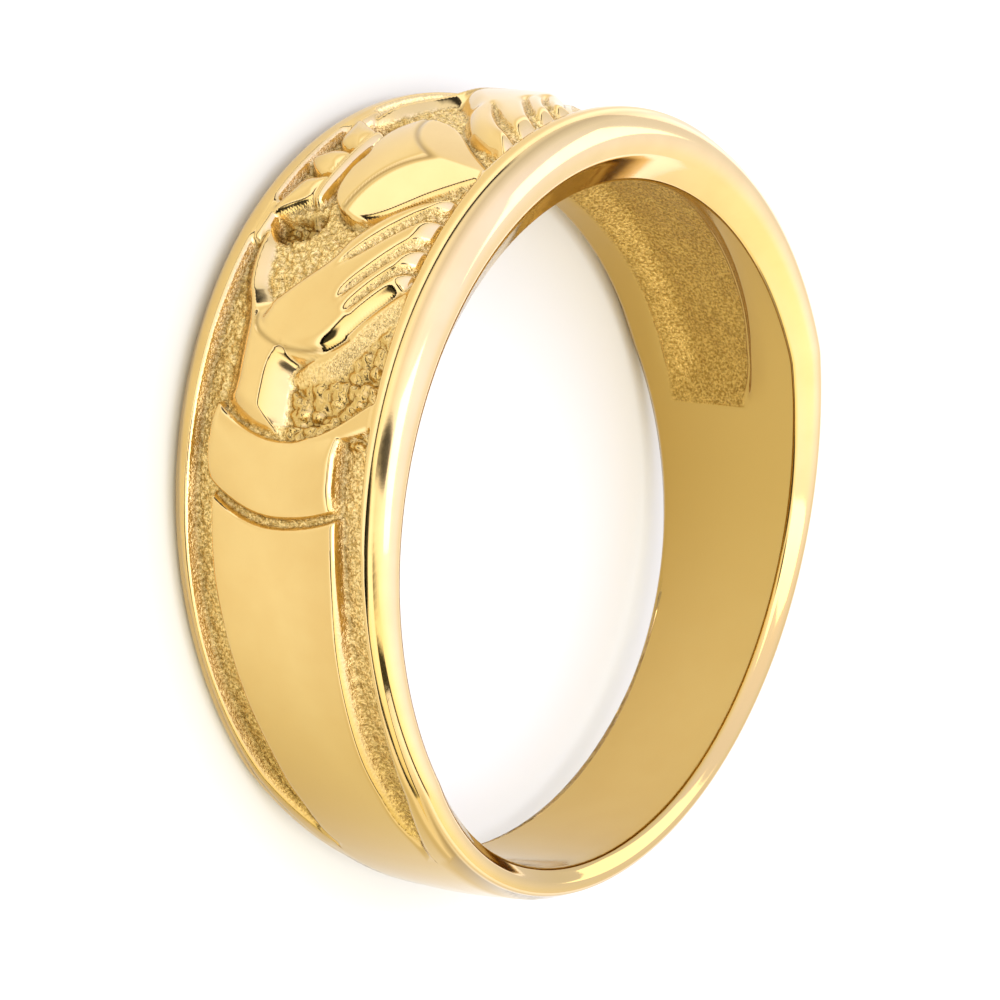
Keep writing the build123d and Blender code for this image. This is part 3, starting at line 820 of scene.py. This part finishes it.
def arc_through(start, middle, end, count):
    """Places on the arc through three points."""
    (ax, ay), (bx, by), (cx, cy) = start, middle, end
    d = 2 * (ax * (by - cy) + bx * (cy - ay) + cx * (ay - by))
    a2, b2, c2 = ax * ax + ay * ay, bx * bx + by * by, cx * cx + cy * cy
    ux = (a2 * (by - cy) + b2 * (cy - ay) + c2 * (ay - by)) / d
    uy = (a2 * (cx - bx) + b2 * (ax - cx) + c2 * (bx - ax)) / d
    radius = math.hypot(ax - ux, ay - uy)
    first = math.atan2(ay - uy, ax - ux)
    last = math.atan2(cy - uy, cx - ux)
    turns = [first + (last - first) * t for t in np.linspace(0, 1, count)]
    return [(ux + radius * math.cos(turn), uy + radius * math.sin(turn)) for turn in turns]


def place(angle, r, w):
    """Points of the ring in the row frame, in metres, for arrays of one shape."""
    a = np.radians(angle)
    across = (np.sin(a) * r)[..., None] * SIDE
    ahead = (np.cos(a) * r)[..., None] * TO_HEART
    along = (w * np.ones(np.shape(r)))[..., None] * AXIS
    return (CENTRE + across + ahead + along) * MM


def blurred(values, times):
    """The values of a patch, each mixed with its neighbours' a number of times."""
    for _ in range(times):
        wide = np.pad(values, 1, mode="edge")
        beside = wide[:-2, 1:-1] + wide[2:, 1:-1] + wide[1:-1, :-2] + wide[1:-1, 2:]
        values = (beside + 4 * values) / 8
    return values


def hollowness(r):
    """How far each point of a patch lies below the points round it, 0 to 1."""
    return np.clip((blurred(r, CREVICE_BLUR) - r - CREVICE_START) / CREVICE_RANGE, 0, 1)


class Skin:
    """Gathers points, how matte each one is, its shares of painted shade and of darker crevices,
    and the faces between them.
    """

    def __init__(self):
        self.points = []
        self.matte = []
        self.tone = []
        self.pit = []
        self.faces = []
        self.count = 0

    def patch(self, angle, r, w, matte, tone, pit=0.0):
        """Adds a grid of points, rows by columns, with its faces, and returns its indices."""
        rows, columns = r.shape
        index = self.count + np.arange(rows * columns).reshape(rows, columns)
        self.count += rows * columns
        self.points.append(place(angle, r, w).reshape(-1, 3))
        self.matte.append((matte * np.ones(r.shape)).ravel())
        self.tone.append((tone * np.ones(r.shape)).ravel())
        self.pit.append((pit * np.ones(r.shape)).ravel())
        corners = (index[:-1, :-1], index[:-1, 1:], index[1:, 1:], index[1:, :-1])
        self.faces.extend(np.stack([c.ravel() for c in corners], 1).tolist())
        return index

    def sew(self, low, low_at, high, high_at):
        """Fills between two lines of points with triangles, by where each point lies along them."""
        i = j = 0
        while i < len(low) - 1 or j < len(high) - 1:
            if j == len(high) - 1 or (i < len(low) - 1 and low_at[i + 1] <= high_at[j + 1]):
                self.faces.append([low[i], low[i + 1], high[j]])
                i += 1
            else:
                self.faces.append([low[i], high[j + 1], high[j]])
                j += 1


def steps(start, end, size):
    """Evenly spaced angles from start to end, both included, about a size apart."""
    return np.linspace(start, end, int(round((end - start) / size)) + 1)


def between(knots, counts):
    """Places from the first knot to the last, evenly spaced from each knot to the next."""
    line = []
    for low, high, count in zip(knots[:-1], knots[1:], counts):
        line.extend(low + (high - low) * number / count for number in range(count))
    return np.array(line + [knots[-1]])


def channel_columns(turn):
    """Where the columns of the channel zone lie at an angle, from back to front."""
    inner = sleeve_edge(turn)
    outer = np.maximum(field_edge(turn), inner + CHANNEL_LEAST)
    knots = [0, inner - SLEEVE_BAND, inner - WALL_BAND, inner + WALL_BAND, outer - WALL_BAND,
             outer + WALL_BAND, outer + RAIL_BAND, half_width_at(turn) - CREST_START]
    half_line = between(knots, CHANNEL_COLUMNS)
    return np.concatenate([-half_line[:0:-1], half_line])


def rows_of(angles, columns_at):
    """Angles and w of a patch, from a rule for where its columns lie at an angle."""
    w = np.array([columns_at(angle) for angle in angles])
    return np.repeat(angles[:, None], w.shape[1], 1), w


def relief_columns(angle):
    """Where the columns of the relief lie at an angle: few on the rails and the rest between."""
    turn = abs(angle)
    inner = float(field_edge(turn)) + RAIL_WALL
    rail = np.linspace(inner, float(half_width_at(turn)) - CREST_START, RAIL_COLUMNS + 1)[1:]
    return np.concatenate([-rail[::-1], np.linspace(-inner, inner, RELIEF_COLUMNS), rail])


def even_columns(count):
    """A rule for evenly spaced columns between the crest corners."""
    shares = np.linspace(-1, 1, count)
    return lambda angle: shares * (float(half_width_at(angle)) - CREST_START)


def inner_columns(angle):
    """Where the columns of the finger hole's wall lie at an angle, from back to front."""
    turn = abs(wrapped(angle))
    front, back, roll = (float(x) for x in hollow_edges(min(turn / HOLLOW_END_ANGLE, 1)))
    reach = section_line(turn, 1)[-1][1]
    knots = [-reach, -back - HOLLOW_BACK_BAND, -back + HOLLOW_WALL_BAND, front - HOLLOW_WALL_BAND,
             front + HOLLOW_FRONT_BAND, min(front + roll, reach - ROLL_TO_LIP), reach]
    return between(knots, BORE_COLUMNS)


def outer_patches(skin):
    """Adds the outer surface as four zones round the ring, and sews them together. Returns each
    zone's angles and the indices of its points."""
    relief = steps(-RELIEF_END, RELIEF_END, RELIEF_STEP)
    beside = steps(RELIEF_END + CHANNEL_STEP, CHANNEL_ZONE_END, CHANNEL_STEP)
    shank = steps(CHANNEL_ZONE_END + SHANK_STEP, 360 - CHANNEL_ZONE_END - SHANK_STEP, SHANK_STEP)
    zones = [
        (relief, relief_columns),
        (beside, channel_columns),
        (shank, even_columns(SHANK_COLUMNS)),
        (360 - beside[::-1], lambda angle: channel_columns(360 - angle)),
    ]
    patches = []
    for angles, columns_at in zones:
        angle, w = rows_of(angles, columns_at)
        r, matte, tone, dark = outer_skin(angle, w)
        # The pit share: patina in hollows, and painted shade at walls' feet, along creases and in
        # the pit
        index = skin.patch(angle, r, w, matte, tone, np.maximum(hollowness(r), dark))
        shares = (w - w[:, :1]) / (w[:, -1:] - w[:, :1])
        patches.append((angles, index, shares))
    for number, (_, index, shares) in enumerate(patches):
        _, next_index, next_shares = patches[(number + 1) % len(patches)]
        skin.sew(index[-1], shares[-1], next_index[0], next_shares[0])
    return [(angles, index) for angles, index, _ in patches]


def inner_angles():
    """Where the rows of the finger hole's wall lie, closest at the hollow's two ends."""
    fine = HOLLOW_END_ANGLE - HOLLOW_FINE_ANGLE
    past = HOLLOW_END_ANGLE + HOLLOW_PAST_END
    hollow = np.concatenate([steps(0, fine, HOLLOW_STEP),
                             steps(fine + HOLLOW_END_STEP, past, HOLLOW_END_STEP)])
    bore = steps(HOLLOW_END_ANGLE + BORE_STEP, 360 - HOLLOW_END_ANGLE - BORE_STEP, BORE_STEP)
    angles = np.concatenate([hollow, bore, 360 - hollow[:0:-1]])
    return np.sort((angles + RELIEF_END) % 360 - RELIEF_END)


def make_skin():
    """The whole casting as one closed mesh."""
    skin = Skin()
    patches = outer_patches(skin)
    around = np.concatenate([angles for angles, _ in patches])

    inner_at = inner_angles()
    angle, w = rows_of(inner_at, inner_columns)
    r, matte, tone = inner_skin(angle, w)
    inner = skin.patch(angle, r, w, matte, tone)[:, ::-1]
    close_ring(skin, inner)

    turns = np.arange(0, 360, SIDE_STEP) - RELIEF_END
    for side, outer_column, inner_column in ((1, -1, 0), (-1, 0, -1)):
        lines = np.array([section_line(a, side) for a in turns])[:, 1:-1]
        angle = np.repeat(turns[:, None], lines.shape[1], 1)
        # Painted shade on the side faces towards the shank, and on the lip as it turns into the
        # finger hole
        tone = SIDE_SHADE * step(np.abs(wrapped(turns)), *SIDE_SHADE_ANGLES)[:, None]
        inward = np.zeros(lines.shape[1])
        inward[-LIP_POINTS:] = np.linspace(LIP_SHADE, 1, LIP_POINTS)
        index = skin.patch(angle, lines[..., 0], lines[..., 1], 0.0, np.maximum(tone, inward))
        close_ring(skin, index)
        edge = np.concatenate([patch[:, outer_column] for _, patch in patches])
        sew_rings(skin, edge, around, index[:, 0], turns)
        sew_rings(skin, index[:, -1], turns, inner[:, inner_column], inner_at)
    return skin


def close_ring(skin, index):
    """Joins the last row of a patch to its first."""
    for low, high in zip(zip(index[-1, :-1], index[-1, 1:]), zip(index[0, :-1], index[0, 1:])):
        skin.faces.append([low[0], low[1], high[1], high[0]])


def sew_rings(skin, low, low_at, high, high_at):
    """Fills between two closed lines of points that run round the ring."""
    skin.sew(np.append(low, low[0]), np.append(low_at, low_at[0] + 360),
             np.append(high, high[0]), np.append(high_at, high_at[0] + 360))


def make_mesh(skin):
    """The mesh object, with its normals outside and smooth shading."""
    mesh = bpy.data.meshes.new("ring")
    points = np.concatenate(skin.points)
    mesh.from_pydata(points.tolist(), [], [[int(i) for i in face] for face in skin.faces])
    tool = bmesh.new()
    tool.from_mesh(mesh)
    bmesh.ops.recalc_face_normals(tool, faces=tool.faces)
    tool.to_mesh(mesh)
    tool.free()
    for name, values in (("matte", skin.matte), ("tone", skin.tone), ("pit", skin.pit)):
        layer = mesh.attributes.new(name, "FLOAT", "POINT")
        layer.data.foreach_set("value", np.concatenate(values).astype(np.float32))
    mesh.polygons.foreach_set("use_smooth", np.ones(len(mesh.polygons), bool))
    mesh.update()
    ring = bpy.data.objects.new("ring", mesh)
    bpy.context.scene.collection.objects.link(ring)
    return ring


def direction(azimuth, elevation, up=AXIS):
    """A unit vector, by its angle round from the heart and its angle towards up."""
    a, e = math.radians(azimuth), math.radians(elevation)
    return math.cos(e) * (math.sin(a) * SIDE + math.cos(a) * TO_HEART) + math.sin(e) * up


def make_camera():
    """A long lens at the photograph's angle to the ring, with the ring turned as it is there."""
    back = direction(VIEW_AZIMUTH, VIEW_ELEVATION)
    up = AXIS - back * (AXIS @ back)
    up /= np.linalg.norm(up)
    right = np.cross(up, back)
    roll = math.radians(VIEW_ROLL)
    turned_up = up * math.cos(roll) + right * math.sin(roll)
    turned_right = np.cross(turned_up, back)
    aim = CENTRE + AIM_RIGHT * turned_right + AIM_UP * turned_up
    data = bpy.data.cameras.new("camera")
    data.lens = LENS
    data.clip_start, data.clip_end = CAMERA_CLIP
    camera = bpy.data.objects.new("camera", data)
    spot = Matrix.Translation((aim + back * VIEW_DISTANCE) * MM)
    columns = [Vector(v) for v in (turned_right, turned_up, back)]
    camera.matrix_world = spot @ Matrix(columns).transposed().to_4x4()
    bpy.context.scene.collection.objects.link(camera)
    bpy.context.scene.camera = camera


def feed(tree, value, socket):
    """Gives a socket a value, which is plain or comes from another socket."""
    if isinstance(value, bpy.types.NodeSocket):
        tree.links.new(value, socket)
    else:
        socket.default_value = value


def make_gold():
    """Yellow gold, polished or blasted, deepened by painted shade, and dark in crevices with patina
    and painted shade, by the mesh's shares.
    """
    material = bpy.data.materials.new("gold")
    material.use_nodes = True
    tree = material.node_tree
    shader = tree.nodes["Principled BSDF"]
    place_node = tree.nodes.new("ShaderNodeTexCoord")

    def attribute(name):
        node = tree.nodes.new("ShaderNodeAttribute")
        node.attribute_name = name
        return node.outputs["Fac"]

    def noise(scale, detail):
        node = tree.nodes.new("ShaderNodeTexNoise")
        node.inputs["Scale"].default_value = scale
        node.inputs["Detail"].default_value = detail
        feed(tree, place_node.outputs["Object"], node.inputs["Vector"])
        return node.outputs["Fac"]

    def spread(source, low, high, stretch):
        node = tree.nodes.new("ShaderNodeMapRange")
        node.inputs["From Min"].default_value, node.inputs["From Max"].default_value = stretch
        node.inputs["To Min"].default_value = low
        node.inputs["To Max"].default_value = high
        feed(tree, source, node.inputs["Value"])
        return node.outputs["Result"]

    def mixed(kind, low, high, share):
        node = tree.nodes.new("ShaderNodeMix")
        node.data_type = kind
        first, second, result = {"FLOAT": (2, 3, 0), "RGBA": (6, 7, 2)}[kind]
        feed(tree, share, node.inputs[0])
        feed(tree, low, node.inputs[first])
        feed(tree, high, node.inputs[second])
        return node.outputs[result]

    # deep is the painted shade share, which deepens the gold
    matte, deep, pit = attribute("matte"), attribute("tone"), attribute("pit")
    smudges, small_grain, worms = noise(*SMUDGE_NOISE), noise(*GRAIN_NOISE), noise(*WORM_NOISE)
    polished = spread(smudges, *POLISHED_ROUGHNESS, NOISE_STRETCH)
    blasted = spread(small_grain, *BLASTED_ROUGHNESS, NOISE_STRETCH)
    smooth = mixed("RGBA", POLISHED_GOLD, WARM_GOLD, spread(smudges, 0, 1, NOISE_STRETCH))
    # Painted shade in the blasted grain's pits and painted glints on its tops, on the noise of the
    # bump
    grain_shade_and_glint = spread(worms, 0, 1, SPECK_STRETCH)
    outside = mixed("RGBA", smooth, mixed("RGBA", *BLASTED_GOLD, grain_shade_and_glint), matte)
    # Painted shade: the deeper golds, for polished and for blasted places
    inside = mixed("RGBA", SHADED_GOLD, mixed("RGBA", *SHADED_BLASTED_GOLD, grain_shade_and_glint), matte)
    before_crevices = mixed("RGBA", outside, inside, deep)
    # Crevices darken: patina in hollows, and painted shade at walls' feet and along creases
    dark = spread(pit, 0, CREVICE_SHARE, (0, 1))
    bump = tree.nodes.new("ShaderNodeBump")
    bump.inputs["Distance"].default_value = BUMP_DISTANCE
    feed(tree, spread(matte, *BUMP_STRENGTH, (0, 1)), bump.inputs["Strength"])
    feed(tree, mixed("FLOAT", small_grain, worms, BUMP_WORM_SHARE), bump.inputs["Height"])
    shader.inputs["Metallic"].default_value = 1.0
    feed(tree, mixed("FLOAT", polished, blasted, matte), shader.inputs["Roughness"])
    feed(tree, mixed("RGBA", before_crevices, CREVICE_GOLD, dark), shader.inputs["Base Color"])
    feed(tree, bump.outputs["Normal"], shader.inputs["Normal"])
    return material


def set_stops(ramp, stops):
    """Gives a colour ramp its stops, each a place and a colour."""
    elements = ramp.color_ramp.elements
    while len(elements) < len(stops):
        elements.new(1.0)
    for element, (at, colour) in zip(elements, stops):
        element.position = at
        element.color = (*colour, 1)


def make_floor():
    """A plain pale floor, with painted shade that darkens it near the ring."""
    bpy.ops.mesh.primitive_plane_add(size=FLOOR_SIZE)
    floor = bpy.context.object
    floor.name = "floor"
    material = bpy.data.materials.new("floor")
    material.use_nodes = True
    tree = material.node_tree
    shader = tree.nodes["Principled BSDF"]
    shader.inputs["Roughness"].default_value = FLOOR_ROUGHNESS
    shader.inputs["Specular IOR Level"].default_value = 0.0
    way = tree.nodes.new("ShaderNodeTexCoord")
    length = tree.nodes.new("ShaderNodeVectorMath")
    length.operation = "LENGTH"
    ramp = tree.nodes.new("ShaderNodeValToRGB")
    # Painted shade: the floor is darker close round the ring
    set_stops(ramp, FLOOR_COLOURS)
    feed(tree, way.outputs["Object"], length.inputs[0])
    feed(tree, length.outputs["Value"], ramp.inputs["Fac"])
    feed(tree, ramp.outputs["Color"], shader.inputs["Base Color"])
    floor.data.materials.append(material)


def make_light(name, azimuth, elevation, size, power):
    """A soft square light that faces the ring, placed by its direction round the ring's axis."""
    toward = direction(azimuth, elevation, STRAIGHT_UP)
    data = bpy.data.lights.new(name, "AREA")
    data.shape = "SQUARE"
    data.size = size
    data.energy = power
    light = bpy.data.objects.new(name, data)
    light.location = toward * LIGHT_DISTANCE
    light.rotation_euler = Vector(toward).to_track_quat("Z", "Y").to_euler()
    bpy.context.scene.collection.objects.link(light)


def make_world():
    """A pale studio with a cool bright ceiling, a dark gap over the floor and two dark spots."""
    world = bpy.data.worlds.new("world")
    world.use_nodes = True
    tree = world.node_tree
    way = tree.nodes.new("ShaderNodeTexCoord").outputs["Generated"]

    def vector(operation, *values, output="Vector"):
        node = tree.nodes.new("ShaderNodeVectorMath")
        node.operation = operation
        for value, socket in zip(values, node.inputs):
            feed(tree, value, socket)
        return node.outputs[output]

    def along(toward):
        return vector("DOT_PRODUCT", way, toward, output="Value")

    def ramp(source, stops):
        node = tree.nodes.new("ShaderNodeValToRGB")
        set_stops(node, stops)
        feed(tree, source, node.inputs["Fac"])
        return node.outputs["Color"]

    height = along((0, 0, 1))
    side = vector("MULTIPLY_ADD", along(direction(SIDE_AZIMUTH, 0)), SIDE_LIGHT, WHITE)
    walls = vector("MULTIPLY", ramp(height, STUDIO), side)
    far_side = ramp(along(-direction(VIEW_AZIMUTH, 0)), FAR_SIDE)
    light = vector("MULTIPLY", walls, vector("MAXIMUM", ramp(height, GAP), far_side))
    for azimuth, elevation, stops in DARK_SPOTS:
        light = vector("MULTIPLY", light, ramp(along(direction(azimuth, elevation)), stops))
    feed(tree, light, tree.nodes["Background"].inputs["Color"])
    bpy.context.scene.world = world


make_camera()
make_floor()
make_world()
for light in LIGHTS:
    make_light(*light)

ring = make_mesh(make_skin())
ring.data.materials.append(make_gold())
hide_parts("claddagh_ring")
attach(ring, "root")

bpy.context.scene.view_settings.view_transform = "Standard"
